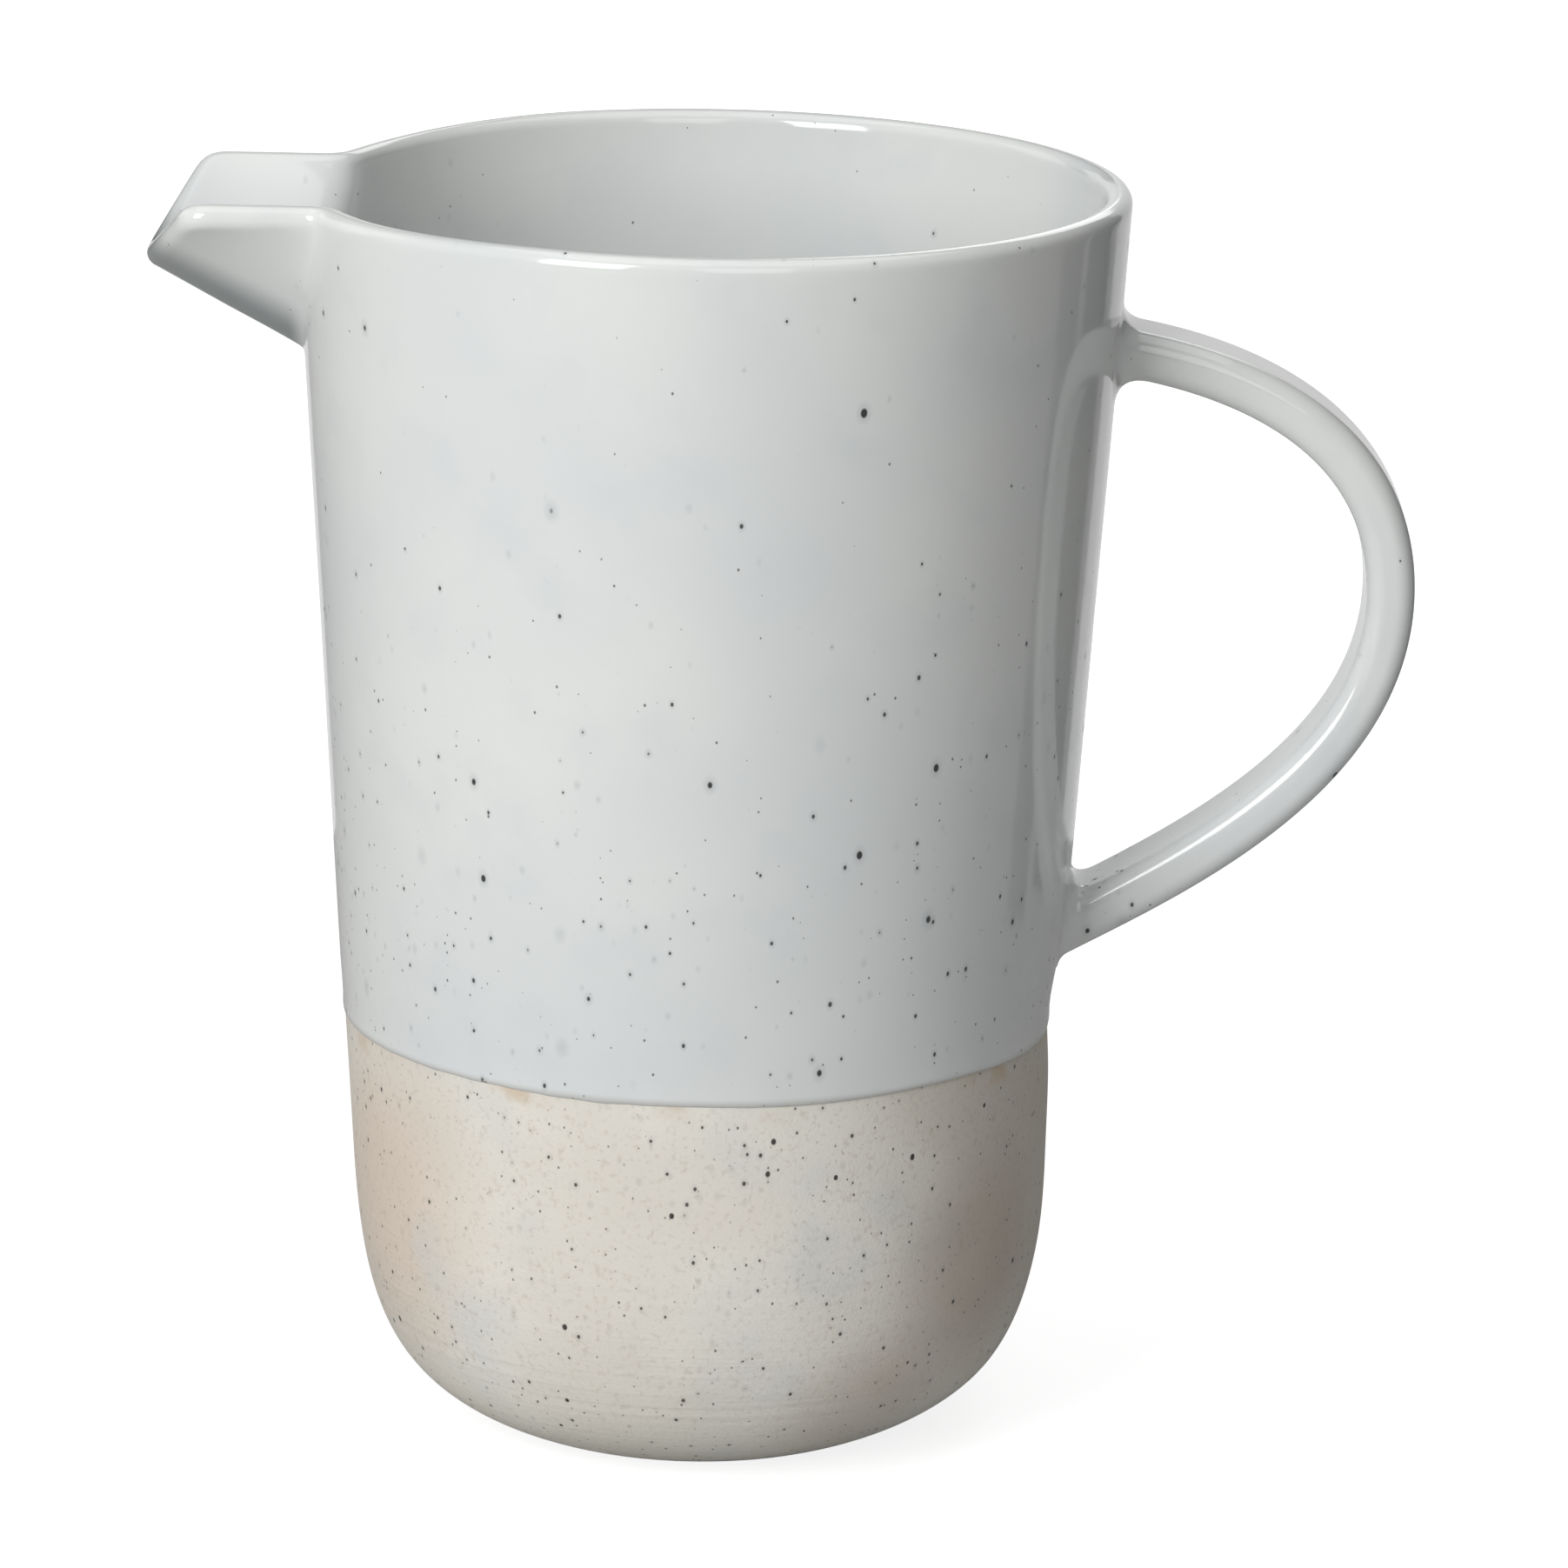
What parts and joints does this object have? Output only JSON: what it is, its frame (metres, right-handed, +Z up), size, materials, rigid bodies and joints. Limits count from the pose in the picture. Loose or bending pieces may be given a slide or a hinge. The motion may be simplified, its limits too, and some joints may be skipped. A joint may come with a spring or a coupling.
{
  "type": "ceramic pitcher",
  "caption": "Tall stoneware pitcher with a V spout and a bowed strap handle, glossy grey-white glaze over a bare clay base.",
  "frame": {"origin": "centre of the flat foot, on the turned body's axis", "axes": "+Z up along the turned body's axis, +X towards the handle, -X towards the spout, +Y to the left of a person who holds the handle and pours away from them"},
  "size_m": [0.1909, 0.125, 0.1921],
  "materials": {
    "bare_stoneware": "matte bare fired clay, beige with dark iron specks",
    "luting_slip": "matte fired slip of the same clay",
    "grey_white_glaze": "glossy cool grey-white glaze with black iron specks"
  },
  "bodies": {
    "root": {"body": "bare_stoneware", "spout": "bare_stoneware", "handle": "bare_stoneware", "spout_slip": "luting_slip", "handle_top_slip": "luting_slip", "handle_bottom_slip": "luting_slip", "outer_glaze": "grey_white_glaze", "liner_glaze": "grey_white_glaze", "spout_glaze": "grey_white_glaze", "handle_glaze": "grey_white_glaze"}
  },
  "joints": []
}
